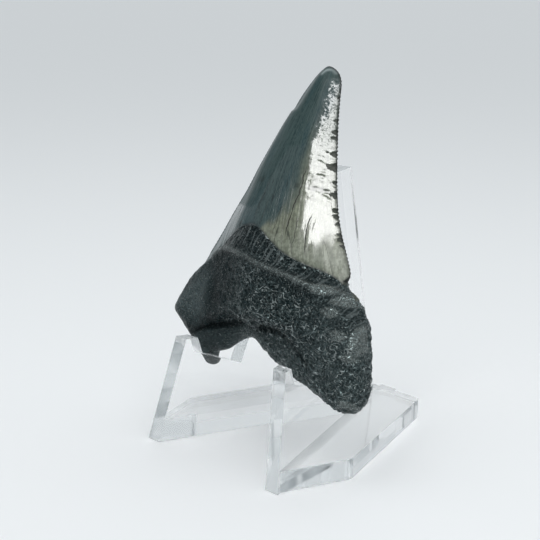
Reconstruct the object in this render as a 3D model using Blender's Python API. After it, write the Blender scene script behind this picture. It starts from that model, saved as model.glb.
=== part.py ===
"""A fossil megalodon tooth resting on its clear moulded display easel.

Two pieces: the easel, one clear moulding, and the tooth, one fossil whose
crown and two-lobed root grew together.  The tooth leans back on the easel's
two fins, and its root sits in their seats.

Sizes are in millimetres here and become metres as each mesh is made.
Easel frame: x to the right seen from the front, y to the back, z up, the
origin on the floor between the two feet.  Tooth frame: u across, v from the
root up to the tip, w out of the domed (lingual) face, the blade's edge at
w = 0.
"""
import math

import bmesh
import bpy
import numpy as np
from mathutils import Vector, noise
from mathutils.geometry import delaunay_2d_cdt

MM = 0.001
CLEARANCE = 0.3  # gap where the tooth touches the easel

# ---- Easel ----
WALL = 3.0  # thickness of a fin
FOOT_SPREAD = 15.5  # from the middle to a fin's inner face, at the feet
FIN_RUN = 42.0  # from the feet back to where the inner faces meet
SPINE_LEAN = 0.166  # how far the spine comes forward per mm of height
SPINE_DEPTH = 4.6  # solid behind the line where the inner faces meet
EASEL_HEIGHT = 53.6
LEG_LEAN = 0.241  # how far a leg's front goes back per mm of height
LEG_HEIGHT = 21.2
LIP_LENGTH = 2.3
LIP_DROP = 3.4  # from the lip's top down to the seat
LIP_SET_BACK = 1.0  # how far the lip's rear face runs back on the way down
SEAT_LENGTH = 7.9
SEAT_FALL = 0.396  # fall of the seat per mm towards the back
REST_LEAN = 0.286  # how far the back rest goes back per mm of height
BASE_HEIGHT = 4.0
BASE_FRONT = 2.0  # y at which a wing's front edge leaves the fin
BASE_TOE = (18.3, 1.0)  # plan corners of the right-hand wing of the base
BASE_WING = (23.3, 14.6)
BASE_HEEL = (12.0, 48.8)
BASE_CORNER = 1.0  # radius of the wing and heel corners
CORNER_STEPS = 4
SAME_PLACE = 0.001
MOULD_EDGE = 0.3  # rounding of the moulded edges
MOULD_STEPS = 2
EDGE_ANGLE = 25.0  # edges sharper than this are rounded
CLEAR = (0.97, 0.98, 0.98)
CLEAR_ROUGHNESS = 0.03
CLEAR_IOR = 1.49
GATE = [(5.4, 0.0), (4.8, 0.9), (1.0, 0.9), (0.4, 0.0)]  # trimmed gate: x, and y past the heel
SPARE = 5.0  # how far a cutter runs past what it cuts

# ---- Tooth ----
LABIAL_DEPTH = 2.7  # from the blade's edge back to the flat face
LABIAL_POWER = 2.6  # how square the flat face's section is
LABIAL_TIP = 0.45  # share of its depth that is left at the tip
LABIAL_TAPER = 18.0
LABIAL_BLEND = 4.0  # height over which the flat face turns from crown to root
TIP_V = 60.9
TIP_ROUND = 4.6  # length over which the tip rounds off
DOME_FOOT_V = 19.0  # the crown's dome is highest here
DOME_FOOT = 8.4  # height of the dome over the blade's edge at its foot
DOME_TIP = 1.5
DOME_CLIMB = 0.9  # how the dome's height grows from the tip down, as a power
DOME_HOLLOW = 0.35  # 0 for a parabola, 1 for a bell whose margins flatten
DOME_POWER = 1.7  # curve of the dome's middle between its two bevels
BEVEL_AT = (-0.5, 0.6)  # where the left and right bevels begin, 1 being the blade's edge
BEVEL_HEIGHT = (0.75, 0.64)  # height of the dome there
BEVEL_EASE = 0.06  # rounding of the bevels' upper edges
BEVEL_FOOT = (22.0, 29.0)  # the bevels rise out of the plain dome over this v
BEVEL_TOP = 51.5  # the left bevel ends here
BLADE_FLARE = 0.6  # spread of the blade's edges below the crown's foot
FOOT_STEPS = 4  # steps at the right foot that turn in and are left out of the span
LEAST_HALF = 0.05  # least half width of the crown
SERRATION_PITCH = 0.75
SERRATION_DEPTH = 0.22
SERRATION_FADE = 6  # steps over which they fade at the feet
RIM = 0.1  # half thickness of the blade at its very edge
LOBE_HEIGHT = 4.4  # height of the lobes over the blade's edge
LOBE_ROUND = 4.5  # how far in their rounded front edge reaches
LABIAL_ROUND = 3.0
HOOK = 1.6  # how far the left lobe's end turns back past the fin
HOOK_U = -13.6  # it starts to turn back here
HOOK_TURN = 2.0  # and is turned back fully this much further left
HOOK_TOP = 2.5
HOOK_RISE = 3.5
SWELL = 5.0  # further height of the swelling above the ledge
SWELL_REACH = 21.0  # half width over which the swelling dies out
SWELL_MIDDLE = 1.5
LEDGE_RISE = 2.6  # height in v over which the ledge climbs
LEDGE_EASE = 7.0  # and how much is added where it runs out into the right lobe
LEDGE_OUT = (8.0, 16.0)
COLLAR = 6.5  # height of the collar between enamel and swelling
COLLAR_SIDE = 3.0  # and what is left of it at the two edges
ENAMEL_STEP = 0.25
ENAMEL_EASE = 2.0  # how far in from the rim the step reaches its height
CURVE_STEPS = 24  # steps between two control points of a curve
LINE_SPACING = 0.5
ROOT_SPACING = 1.3  # outline point spacing on the root
BODY_SPACING = 1.45  # spacing of the points inside
ROOT_RINGS = (0.2, 0.8, 1.8, 3.2)  # rows of points inside the root's outline
BLADE_RINGS = (0.6, 1.6)
RING_SHARE = 0.96  # least distance of a row from the outline, as a share of its own
BODY_SHARE = 0.62  # least distance between the points inside, as a share of their spacing
BLADE_SHARE = 0.8  # spacing along the blade's rings, as a share of the root's
LINE_GAP = 1.2  # rows of points beside the ledge and the enamel's edge
LUMP_SIZE = 5.0
LUMP_HEIGHT = 0.5
SHARP_ANGLE = 50.0
FOSSIL = (0.10, 0.12, 0.12)
FOSSIL_ROUGHNESS = 0.35

BLADE = [  # from the right foot of the crown over the tip to the left foot
    (17.2, 21.2), (17.7, 22.8), (15.9, 26.0), (13.4, 30.1), (11.4, 34.4), (9.8, 39.5),
    (8.4, 45.0), (7.2, 50.3), (6.4, 55.0), (6.0, 57.6), (5.1, 59.3), (3.6, 60.4),
    (1.9, 60.8), (0.5, 60.0), (-1.0, 58.4), (-3.1, 55.4), (-4.7, 52.4), (-5.8, 51.2),
    (-7.3, 48.6), (-9.2, 44.5), (-11.4, 39.8), (-13.5, 34.8), (-16.0, 29.9),
    (-18.2, 25.2), (-20.5, 20.8),
]
ROOT = [  # from the left foot of the crown round both lobes to the right foot
    (-20.5, 20.8), (-21.9, 17.2), (-23.9, 13.5), (-25.6, 9.8), (-25.8, 7.0), (-24.0, 5.3),
    (-21.4, 3.6), (-19.2, 2.2), (-17.4, -0.2), (-16.0, -1.8), (-14.9, -0.9), (-13.6, 0.8),
    (-10.4, 2.2), (-7.4, 4.5), (-4.6, 5.9), (-1.8, 6.0), (0.9, 4.9), (5.0, 3.0),
    (9.2, 1.4), (13.4, 0.5), (17.6, -0.7), (21.6, -2.0), (24.8, -1.7), (26.6, 0.4),
    (27.0, 3.8), (25.9, 8.2), (24.6, 12.6), (22.8, 16.0), (20.1, 18.8), (17.6, 19.9),
    (17.2, 21.2),
]
ENAMEL_EDGE = [  # lower edge of the enamel on the domed face, a chevron
    (-24.0, 16.0), (-19.0, 19.4), (-15.0, 22.2), (-10.8, 25.0), (-6.2, 27.4), (-3.2, 28.1),
    (-0.6, 27.5), (2.2, 25.9), (5.8, 24.0), (9.7, 22.8), (13.0, 22.2), (16.0, 21.3),
    (19.0, 19.4), (24.0, 16.0),
]
LEDGE = [  # where the swelling of the root turns under towards the lobes
    (-24.0, 2.0), (-18.0, 4.6), (-12.5, 7.0), (-6.0, 8.8), (-2.2, 10.2), (0.4, 9.4),
    (5.0, 10.2), (9.0, 9.8), (13.0, 7.6), (19.0, 3.4), (27.0, -2.0),
]


def new_object(name, mesh, *materials):
    """Link a mesh to the scene as an object."""
    obj = bpy.data.objects.new(name, mesh)
    bpy.context.scene.collection.objects.link(obj)
    for material in materials:
        mesh.materials.append(material)
    return obj


def new_material(name, colour, roughness, transmission=0.0, ior=1.5):
    """Principled BSDF in one colour."""
    material = bpy.data.materials.new(name)
    material.use_nodes = True
    shader = material.node_tree.nodes["Principled BSDF"]
    shader.inputs["Base Color"].default_value = (*colour, 1.0)
    shader.inputs["Roughness"].default_value = roughness
    shader.inputs["Transmission Weight"].default_value = transmission
    shader.inputs["IOR"].default_value = ior
    return material


def prism(name, outline, move):
    """Closed prism: a flat outline of (x, y, z) points extruded by a vector, in mm."""
    bm = bmesh.new()
    face = bm.faces.new([bm.verts.new(Vector(point) * MM) for point in outline])
    swept = bmesh.ops.extrude_face_region(bm, geom=[face])["geom"]
    tops = [item for item in swept if isinstance(item, bmesh.types.BMVert)]
    bmesh.ops.translate(bm, verts=tops, vec=Vector(move) * MM)
    bmesh.ops.recalc_face_normals(bm, faces=bm.faces)
    mesh = bpy.data.meshes.new(name)
    bm.to_mesh(mesh)
    bm.free()
    return mesh


def combine(obj, mesh, operation):
    """Add an EXACT boolean with a hidden helper object."""
    helper = new_object(mesh.name, mesh)
    helper.display_type = "WIRE"
    helper.hide_render = True
    boolean = obj.modifiers.new(mesh.name, "BOOLEAN")
    boolean.operation = operation
    boolean.object = helper


# ---- Easel ----

def fin_normal():
    """Outward unit normal of the right-hand fin."""
    along = Vector((-FOOT_SPREAD, FIN_RUN, 0.0))
    return along.cross(Vector((0.0, -SPINE_LEAN, 1.0))).normalized()


def fin_x(y, offset):
    """x on the floor of the right-hand fin's inner face, moved out by an offset."""
    normal = fin_normal()
    return (offset - normal.y * (y - FIN_RUN)) / normal.x


def seat_corners():
    """(y, z) of the leg's top, the lip's end and the two ends of the seat."""
    leg_top = (LEG_LEAN * LEG_HEIGHT, LEG_HEIGHT)
    lip_end = (leg_top[0] + LIP_LENGTH, LEG_HEIGHT)
    seat_front = (lip_end[0] + LIP_SET_BACK, LEG_HEIGHT - LIP_DROP)
    seat_rear = (seat_front[0] + SEAT_LENGTH, seat_front[1] - SEAT_FALL * SEAT_LENGTH)
    return leg_top, lip_end, seat_front, seat_rear


def fins():
    """The two fins and the spine, as a V swept up along the leaning spine."""
    front = -SPARE
    rear = FIN_RUN + SPINE_DEPTH
    right = [(fin_x(front, 0.0), front), (fin_x(front, WALL), front), (fin_x(rear, WALL), rear)]
    left = [(-x, y) for x, y in reversed(right)]
    outline = right + left + [(0.0, FIN_RUN)]
    move = (0.0, -SPINE_LEAN * EASEL_HEIGHT, EASEL_HEIGHT)
    return prism("fins", [(x, y, 0.0) for x, y in outline], move)


def side_view():
    """The fins' profile from the side: leg, lip, seat and back rest."""
    corners = seat_corners()
    seat_rear = corners[-1]
    top = EASEL_HEIGHT + SPARE
    rear = FIN_RUN + SPINE_DEPTH + SPARE
    profile = [(-LEG_LEAN * SPARE, -SPARE), *corners]
    profile += [(seat_rear[0] + REST_LEAN * (top - seat_rear[1]), top), (rear, top), (rear, -SPARE)]
    width = FOOT_SPREAD + WALL + SPARE
    return prism("side_view", [(-width, y, z) for y, z in profile], (2.0 * width, 0.0, 0.0))


def base():
    """The base: two wings joined behind the fins, open to the floor between them."""
    inside = 0.5 * WALL
    right = [(fin_x(BASE_FRONT, inside), BASE_FRONT), BASE_TOE, BASE_WING, BASE_HEEL]
    left = [(-x, y) for x, y in reversed(right)]
    stub = [(x, BASE_HEEL[1] + proud) for x, proud in GATE]
    outline = right + stub + left + [(0.0, FIN_RUN + 0.5 * SPINE_DEPTH)]
    mesh = prism("base", [(x, y, 0.0) for x, y in outline], (0.0, 0.0, BASE_HEIGHT))
    bm = bmesh.new()
    bm.from_mesh(mesh)
    corners = [Vector((side * x, y)) * MM for x, y in (BASE_WING, BASE_HEEL) for side in (1, -1)]
    edges = [
        edge for edge in bm.edges
        if any(all((v.co.xy - corner).length < SAME_PLACE * MM for v in edge.verts) for corner in corners)
    ]
    bmesh.ops.bevel(
        bm, geom=edges, offset=BASE_CORNER * MM, segments=CORNER_STEPS, profile=0.5, affect="EDGES",
    )
    bm.to_mesh(mesh)
    bm.free()
    return mesh


def make_easel():
    """The clear easel, with its moulded edges rounded."""
    clear = new_material("clear_plastic", CLEAR, CLEAR_ROUGHNESS, 1.0, CLEAR_IOR)
    easel = new_object("stand", fins(), clear)
    combine(easel, side_view(), "INTERSECT")
    combine(easel, base(), "UNION")
    bevel = easel.modifiers.new("moulded_edges", "BEVEL")
    bevel.width = MOULD_EDGE * MM
    bevel.segments = MOULD_STEPS
    bevel.limit_method = "ANGLE"
    bevel.angle_limit = math.radians(EDGE_ANGLE)
    return easel


# ---- Tooth ----

def smooth_path(points, spacing):
    """Catmull-Rom curve through the points, resampled at an even spacing."""
    knots = np.array([points[0], *points, points[-1]], dtype=float)
    knots[0] = 2.0 * knots[1] - knots[2]
    knots[-1] = 2.0 * knots[-2] - knots[-3]
    t = np.linspace(0.0, 1.0, CURVE_STEPS, endpoint=False)[:, None]
    spans = []
    for a, b, c, d in zip(knots, knots[1:], knots[2:], knots[3:]):
        bend = (2 * a - 5 * b + 4 * c - d) * t**2 + (3 * b - a - 3 * c + d) * t**3
        spans.append(0.5 * (2 * b + (c - a) * t + bend))
    fine = np.vstack([*spans, knots[-2][None]])
    length = np.append(0.0, np.cumsum(np.linalg.norm(np.diff(fine, axis=0), axis=1)))
    count = max(2, round(length[-1] / spacing))
    stops = np.linspace(0.0, length[-1], count + 1)
    return np.column_stack([np.interp(stops, length, fine[:, k]) for k in (0, 1)])


def outward(path):
    """Unit normals of a path that runs anticlockwise round the tooth."""
    along = np.gradient(path, axis=0)
    along /= np.linalg.norm(along, axis=1)[:, None]
    return np.column_stack([along[:, 1], -along[:, 0]])


def serrated(path):
    """The blade's edge with its serrations, which fade at the tip and the feet."""
    wave = np.where(np.arange(len(path)) % 2 == 0, -0.5, 0.5)
    fade = ramp((TIP_V - path[:, 1]) / TIP_ROUND)
    fade *= ramp(np.minimum(np.arange(len(path)), np.arange(len(path))[::-1]) / SERRATION_FADE)
    return path + outward(path) * (wave * fade * SERRATION_DEPTH)[:, None]


def ramp(x):
    """Smooth step from 0 at x = 0 to 1 at x = 1."""
    x = np.clip(x, 0.0, 1.0)
    return x * x * (3.0 - 2.0 * x)


def quarter(x):
    """Quarter circle from 0 at x = 0 to 1 at x = 1."""
    return np.sqrt(1.0 - (1.0 - np.clip(x, 0.0, 1.0)) ** 2)


def depth_inside(points, loop):
    """Distance of each point from a closed loop."""
    start = loop
    along = np.roll(loop, -1, axis=0) - start
    offset = points[:, None] - start[None]
    place = np.clip((offset * along).sum(-1) / (along**2).sum(-1), 0.0, 1.0)
    return np.linalg.norm(offset - place[..., None] * along, axis=-1).min(axis=1)


def is_inside(points, loop):
    """Whether each point lies inside a closed loop."""
    x, y = points[:, 0, None], points[:, 1, None]
    (x1, y1), (x2, y2) = loop.T, np.roll(loop, -1, axis=0).T
    spans = (y1 > y) != (y2 > y)
    rise = np.where(y1 == y2, 1.0, y2 - y1)
    return (spans & (x < x1 + (x2 - x1) * (y - y1) / rise)).sum(axis=1) % 2 == 1


def follow(points, u):
    """Height v of a line of control points over u, with its corners eased."""
    line = smooth_path(points, LINE_SPACING)
    return np.interp(u, line[:, 0], line[:, 1])


def blade_span(v):
    """Left and right edges of the crown at v, flared on below its foot."""
    path = smooth_path(BLADE, LINE_SPACING)
    tip = path[:, 1].argmax()
    right, left = path[FOOT_STEPS:tip + 1], path[tip:][::-1]
    flare_right = np.clip(right[0, 1] - v, 0.0, None) * BLADE_FLARE
    flare_left = np.clip(left[0, 1] - v, 0.0, None) * BLADE_FLARE
    u_right = np.interp(v, right[:, 1], right[:, 0]) + flare_right
    u_left = np.interp(v, left[:, 1], left[:, 0]) - flare_left
    return u_left, u_right


def across_crown(u, v):
    """-1 at the left edge of the blade, 0 in its middle, 1 at the right edge."""
    u_left, u_right = blade_span(v)
    half = np.maximum(0.5 * (u_right - u_left), LEAST_HALF)
    return np.clip((u - 0.5 * (u_left + u_right)) / half, -1.0, 1.0)


def bevel_line(share):
    """Points up the crown that stay at one share of its half width."""
    v = np.arange(BEVEL_FOOT[1], TIP_V - TIP_ROUND, ROOT_SPACING)
    u_left, u_right = blade_span(v)
    return np.column_stack([0.5 * (u_left + u_right + share * (u_right - u_left)), v])


def tip_round(v):
    """1 up the crown, falling to 0 over the rounded tip."""
    return np.sqrt(1.0 - (1.0 - np.clip((TIP_V - v) / TIP_ROUND, 0.0, 1.0)) ** 3)


def dome_section(t, v):
    """Height of the dome across the crown: an arch between two flat bevels, plain at its foot."""
    plain = (1.0 - DOME_HOLLOW) * (1.0 - t**2) + DOME_HOLLOW * 0.5 * (1.0 + np.cos(math.pi * t))
    place = np.where(t < 0.0, *BEVEL_AT)
    height = np.where(t < 0.0, *BEVEL_HEIGHT)
    arch = 1.0 - (1.0 - height) * np.abs(t / place) ** DOME_POWER
    bevel = height * (1.0 - np.abs(t)) / (1.0 - np.abs(place))
    ease = np.clip(1.0 - np.abs(arch - bevel) / BEVEL_EASE, 0.0, None)
    bevelled = np.minimum(arch, bevel) - 0.25 * BEVEL_EASE * ease**2
    low, high = BEVEL_FOOT
    share = ramp((v - low) / (high - low)) * np.where(t < 0.0, ramp(BEVEL_TOP + 0.5 - v), 1.0)
    return plain + (bevelled - plain) * share


def lingual_height(u, v, depth):
    """Height w of the domed face: the crown's dome, the collar and the root's swelling."""
    climb = np.clip((TIP_V - v) / (TIP_V - DOME_FOOT_V), 0.0, 1.0) ** DOME_CLIMB
    dome = (DOME_TIP + (DOME_FOOT - DOME_TIP) * climb) * dome_section(across_crown(u, v), v)
    dome *= tip_round(v)
    below_enamel = follow(ENAMEL_EDGE, u) - v
    away = (u - SWELL_MIDDLE) / SWELL_REACH
    out_low, out_high = LEDGE_OUT
    rise = LEDGE_RISE + LEDGE_EASE * ramp((u - out_low) / (out_high - out_low))
    swell = SWELL * ramp((v - follow(LEDGE, u)) / rise + 0.5) * (1.0 - ramp(np.abs(away)))
    root = (LOBE_HEIGHT + swell) * quarter(depth / LOBE_ROUND)
    collar = COLLAR + (COLLAR_SIDE - COLLAR) * ramp(np.abs(away))
    surface = dome + (root - dome) * ramp(below_enamel / collar)
    step = ENAMEL_STEP * ramp(-below_enamel) * ramp(depth / ENAMEL_EASE) * tip_round(v)
    return np.maximum(surface + step, RIM)


def labial_height(u, v, depth):
    """Depth w of the flat face."""
    t = across_crown(u, v)
    taper = LABIAL_TIP + (1.0 - LABIAL_TIP) * ramp((TIP_V - v) / LABIAL_TAPER)
    crown = (1.0 - np.abs(t) ** LABIAL_POWER) * taper * tip_round(v)
    root = quarter(depth / LABIAL_ROUND)
    blend = ramp((follow(ENAMEL_EDGE, u) - v) / LABIAL_BLEND + 0.5)
    return -np.maximum(LABIAL_DEPTH * (crown + (root - crown) * blend), RIM)


def hook(u, v):
    """How far the lower end of the left lobe turns towards the flat side."""
    return -HOOK * ramp((HOOK_U - u) / HOOK_TURN) * ramp((HOOK_TOP - v) / HOOK_RISE)


def rings(path, distances, loop):
    """Rows of points beside a path, at each of the distances, clear of the outline."""
    rows = []
    for distance in distances:
        row = path - outward(path) * distance
        row = row[is_inside(row, loop)]
        least = RING_SHARE * max(abs(distance), ROOT_RINGS[0])
        rows.append(row[depth_inside(row, loop) > least])
    return np.vstack(rows)


def clear_of(points, others, gap):
    """The points that keep at least a gap from all the others."""
    spread = np.linalg.norm(points[:, None] - others[None], axis=-1).min(axis=1)
    return points[spread > gap]


def body_points(loop, border):
    """Staggered rows of points that fill the inside, clear of the other points."""
    low, high = loop.min(axis=0), loop.max(axis=0)
    rise = BODY_SPACING * math.sqrt(0.75)
    rows = []
    for k, v in enumerate(np.arange(low[1], high[1], rise)):
        u = np.arange(low[0], high[0], BODY_SPACING) + 0.5 * BODY_SPACING * (k % 2)
        rows.append(np.column_stack([u, np.full_like(u, v)]))
    grid = np.vstack(rows)
    return clear_of(grid[is_inside(grid, loop)], border, BODY_SHARE * BODY_SPACING)


def tooth_place():
    """Origin and the u, v, w axes of the tooth, leaning on the easel."""
    rear_y, rear_z = seat_corners()[-1]
    lean = math.atan(REST_LEAN)
    w_axis = Vector((0.0, -math.cos(lean), math.sin(lean)))
    v_axis = Vector((0.0, math.sin(lean), math.cos(lean)))
    origin = Vector((0.0, rear_y, rear_z)) + w_axis * (LABIAL_DEPTH + CLEARANCE)
    return origin, Vector((1.0, 0.0, 0.0)), v_axis, w_axis


def lumps(points, reach):
    """Low lumps on the root, which fade out towards the enamel and the rim."""
    raw = [noise.noise(Vector((u, v, 0.0)) / LUMP_SIZE) for u, v in points]
    return LUMP_HEIGHT * np.array(raw) * reach


def make_tooth():
    """The tooth: one closed skin over a flat net of points, domed on both sides."""
    blade = smooth_path(BLADE, SERRATION_PITCH / 2.0)
    root = smooth_path(ROOT, ROOT_SPACING)
    plain = np.vstack([blade[:-1], root[:-1]])
    loop = np.vstack([serrated(blade)[:-1], root[:-1]])
    coarse = smooth_path(BLADE, BLADE_SHARE * ROOT_SPACING)
    border = np.vstack([rings(root, ROOT_RINGS, plain), rings(coarse, BLADE_RINGS, plain)])
    for line in (LEDGE, ENAMEL_EDGE):
        rows = rings(smooth_path(line, ROOT_SPACING), (-LINE_GAP, 0.0, LINE_GAP), plain)
        border = np.vstack([border, clear_of(rows, border, 0.5 * LINE_GAP)])
    for share in BEVEL_AT:
        border = np.vstack([border, clear_of(bevel_line(share), border, 0.5 * LINE_GAP)])
    net = np.vstack([loop, border, body_points(plain, np.vstack([plain, border]))])

    count = len(loop)
    edges = [(k, (k + 1) % count) for k in range(count)]
    verts, _, faces, origins, _, _ = delaunay_2d_cdt(
        [Vector(point) for point in net], edges, [], 1, 1e-6,
    )
    points = np.array([tuple(vert) for vert in verts])
    on_rim = {own[0]: k for k, own in enumerate(origins) if own and own[0] < count}

    u, v = points.T
    depth = depth_inside(points, plain)
    depth[list(on_rim.values())] = 0.0
    root_only = ramp((follow(ENAMEL_EDGE, u) - v) / COLLAR) * ramp(depth / LOBE_ROUND)
    front = lingual_height(u, v, depth) + lumps(points, root_only)
    back = labial_height(u, v, depth)

    origin, u_axis, v_axis, w_axis = tooth_place()
    bm = bmesh.new()
    sides = []
    for heights in (front, back):
        sides.append([
            bm.verts.new((origin + u_axis * a + v_axis * b + w_axis * c) * MM)
            for a, b, c in zip(u, v, heights + hook(u, v))
        ])
    for face in faces:
        bm.faces.new([sides[0][k] for k in face])
        bm.faces.new([sides[1][k] for k in reversed(face)])
    for a, b in edges:
        ends = on_rim[a], on_rim[b]
        bm.faces.new([sides[0][ends[1]], sides[0][ends[0]], sides[1][ends[0]], sides[1][ends[1]]])
    bmesh.ops.recalc_face_normals(bm, faces=bm.faces)
    mesh = bpy.data.meshes.new("tooth")
    bm.to_mesh(mesh)
    bm.free()
    mesh.shade_smooth()
    mesh.set_sharp_from_angle(angle=math.radians(SHARP_ANGLE))
    fossil = new_material("fossil_tooth", FOSSIL, FOSSIL_ROUGHNESS)
    return new_object("tooth", mesh, fossil)


def centre_over_origin(objects):
    """Move the meshes so that the footprint's middle is at the origin."""
    bpy.context.view_layer.update()
    corners = [Vector(corner) for obj in objects[:2] for corner in obj.bound_box]
    for axis in (0, 1):
        values = [corner[axis] for corner in corners]
        middle = 0.5 * (min(values) + max(values))
        for obj in objects:
            obj.location[axis] -= middle


for old in list(bpy.data.objects):
    bpy.data.objects.remove(old)
stand = make_easel()
tooth = make_tooth()
helpers = [obj for obj in bpy.data.objects if obj not in (stand, tooth)]
centre_over_origin([stand, tooth, *helpers])
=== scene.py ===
"""Looks of a megalodon tooth on its clear display easel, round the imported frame.

The tooth's frame is in millimetres: u across, v from the root up to the tip,
w out of the domed (lingual) face, the blade's edge at w = 0.  The easel's
frame has its origin on the floor between the two feet.  Everything placed in
the scene is in metres, in the row frame.  A stretch is a pair (low, high) over
which a share grows smoothly from 0 to 1.
"""

import math
from collections import namedtuple

import bmesh
import bpy
import numpy as np
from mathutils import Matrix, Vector, kdtree, noise
from mathutils.geometry import delaunay_2d_cdt


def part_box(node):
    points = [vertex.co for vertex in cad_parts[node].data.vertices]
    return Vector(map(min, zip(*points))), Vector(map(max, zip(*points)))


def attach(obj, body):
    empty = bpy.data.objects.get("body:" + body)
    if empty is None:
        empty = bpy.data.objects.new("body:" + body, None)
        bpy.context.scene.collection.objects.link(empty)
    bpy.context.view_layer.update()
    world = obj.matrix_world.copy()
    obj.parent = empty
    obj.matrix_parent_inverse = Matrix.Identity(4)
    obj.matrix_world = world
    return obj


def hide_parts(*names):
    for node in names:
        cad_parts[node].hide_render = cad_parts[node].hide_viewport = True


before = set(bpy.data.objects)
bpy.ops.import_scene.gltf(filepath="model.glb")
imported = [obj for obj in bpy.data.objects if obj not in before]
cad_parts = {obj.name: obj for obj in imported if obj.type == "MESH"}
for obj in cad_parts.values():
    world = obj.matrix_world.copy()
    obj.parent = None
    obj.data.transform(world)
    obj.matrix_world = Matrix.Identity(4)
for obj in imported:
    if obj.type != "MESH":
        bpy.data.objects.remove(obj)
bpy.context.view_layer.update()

MM = 0.001
SAME_PLACE = 1e-6  # points closer than this are one
TINY = 1e-12  # keeps a division from failing
EVEN = (1.0, 1.0, 1.0)  # a squeeze that changes nothing
FLAT = (1.0, 1.0, 0.0)  # and one onto the tooth's plane
SEED_STEPS = (1.0, 1.7, 0.6)  # how a seed shifts a noise along its axes

# ---- Where the tooth stands, from the easel ----
SEAT_REAR = (16.309, 14.672)  # y, z of the rear end of the seats, in the easel's frame
REST_LEAN = 0.286  # how far the back rests go back per mm of height
BLADE_OFFSET = 3.0  # from the back rests out to the blade's edge

# ---- Tooth: the same form as the solid ----
LABIAL_DEPTH = 2.7  # from the blade's edge back to the flat face
LABIAL_POWER = 2.6  # how square the flat face's section is
LABIAL_TIP = 0.45  # share of its depth that is left at the tip
LABIAL_TAPER = 18.0
LABIAL_BLEND = 4.0  # height over which the flat face turns from crown to root
TIP_V = 60.9
TIP_ROUND = 4.6  # length over which the tip rounds off
DOME_FOOT_V = 19.0  # the crown's dome is highest here
DOME_FOOT = 8.4  # height of the dome over the blade's edge at its foot
DOME_TIP = 1.5
DOME_CLIMB = 0.9  # power by which the dome rises from the tip down
DOME_HOLLOW = 0.35  # 0 for a parabola, 1 for a bell whose margins flatten
DOME_POWER = 1.7  # curve of the dome's middle between its two bevels
BEVEL_AT = (-0.5, 0.6)  # where both bevels begin, 1 being the blade's edge
BEVEL_HEIGHT = (0.75, 0.64)  # height of the dome there
BEVEL_EASE = 0.06  # rounding of the bevels' upper edges
BEVEL_SOFT = 0.4  # and how much softer the right one is near the tip
BEVEL_SOFTENS = (44.0, 52.0)
BEVEL_NARROW = (0.16, -0.15)  # towards the tip the left one moves out and down
BEVEL_NARROWS = (30.0, 46.0)
BEVEL_FOOT = (22.0, 29.0)  # the bevels rise out of the plain dome over this v
BEVEL_TOP = (51.0, 52.0)  # and the left one ends over this v
BLADE_FLARE = 0.6  # spread of the blade's edges below the crown's foot
FOOT_STEPS = 4  # steps at the right foot that turn in and don't count
LEAST_HALF = 0.05
SERRATION_PITCH = 0.75
SERRATION_DEPTH = 0.22
SERRATION_FADE = 2.5  # length over which they fade out at the crown's feet
RIM = 0.1  # half thickness of the blade at its very edge
LOBE_HEIGHT = 4.4  # height of the lobes over the blade's edge
LOBE_ROUND = 4.5  # how far in their rounded front edge reaches
LABIAL_ROUND = 3.0
HOOK = 1.6  # how far the left lobe's end turns back past the fin
HOOK_AT = ((-15.6, -13.6), (-1.0, 2.5))  # u and v over which it does
SWELL = 5.0  # further height of the swelling above the ledge
SWELL_REACH = 21.0  # half width over which the swelling dies out
SWELL_MIDDLE = 1.5
LEDGE_RISE = 2.6  # height in v over which the ledge climbs
LEDGE_EASE = 7.0  # and this much more where it runs out to the right
LEDGE_OUT = (8.0, 16.0)
COLLAR = 6.5  # height of the collar between enamel and swelling
COLLAR_SIDE = 3.0  # and what is left of it at the two edges
LUMP_SIZE = 5.0
LUMP_HEIGHT = 0.5

# ---- How finely curves are followed ----
CURVE_STEPS = 24  # between two control points
LINE_SPACING = 0.5
FINE_SPACING = 0.1
FINEST_SPACING = 0.06

BLADE = [  # from the crown's right foot over the tip to its left foot
    (17.2, 21.2), (17.7, 22.8), (15.9, 26.0), (13.4, 30.1), (11.4, 34.4), (9.8, 39.5),
    (8.4, 45.0), (7.2, 50.3), (6.4, 55.0), (6.0, 57.6), (5.1, 59.3), (3.6, 60.4),
    (1.9, 60.8), (0.5, 60.0), (-1.0, 58.4), (-3.1, 55.4), (-4.4, 53.0), (-4.9, 52.0),
    (-5.6, 51.4), (-6.1, 50.6), (-7.2, 48.6), (-9.2, 44.5), (-11.4, 39.8), (-13.5, 34.8),
    (-16.0, 29.9), (-18.2, 25.2), (-20.5, 20.8),
]
CORNER = [(-4.9, 52.0), (-5.6, 51.4)]  # the left edge's corner, which the dome doesn't follow
ROOT = [  # from the crown's left foot round both lobes to its right foot
    (-20.5, 20.8), (-21.9, 17.2), (-23.9, 13.5), (-25.6, 9.8), (-25.8, 7.0), (-24.0, 5.3),
    (-21.4, 3.6), (-19.2, 2.2), (-17.4, -0.2), (-16.0, -1.8), (-14.9, -0.9), (-13.6, 0.8),
    (-10.4, 2.2), (-7.4, 4.5), (-4.6, 5.9), (-1.8, 6.0), (0.9, 4.9), (5.0, 3.0),
    (9.2, 1.4), (13.4, 0.5), (17.6, -0.7), (21.6, -2.0), (24.8, -1.7), (26.6, 0.4),
    (27.0, 3.8), (25.9, 8.2), (24.6, 12.6), (22.8, 16.0), (20.1, 18.8), (17.6, 19.9),
    (17.2, 21.2),
]
ENAMEL_EDGE = [  # lower edge of the enamel on the domed face, a chevron
    (-24.0, 16.0), (-19.0, 19.4), (-15.0, 22.2), (-10.8, 25.0), (-6.2, 27.4), (-3.2, 28.1),
    (-0.6, 27.5), (2.2, 25.9), (5.8, 24.0), (9.7, 22.8), (13.0, 22.2), (16.0, 21.3),
    (19.0, 19.4), (24.0, 16.0),
]
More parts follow.
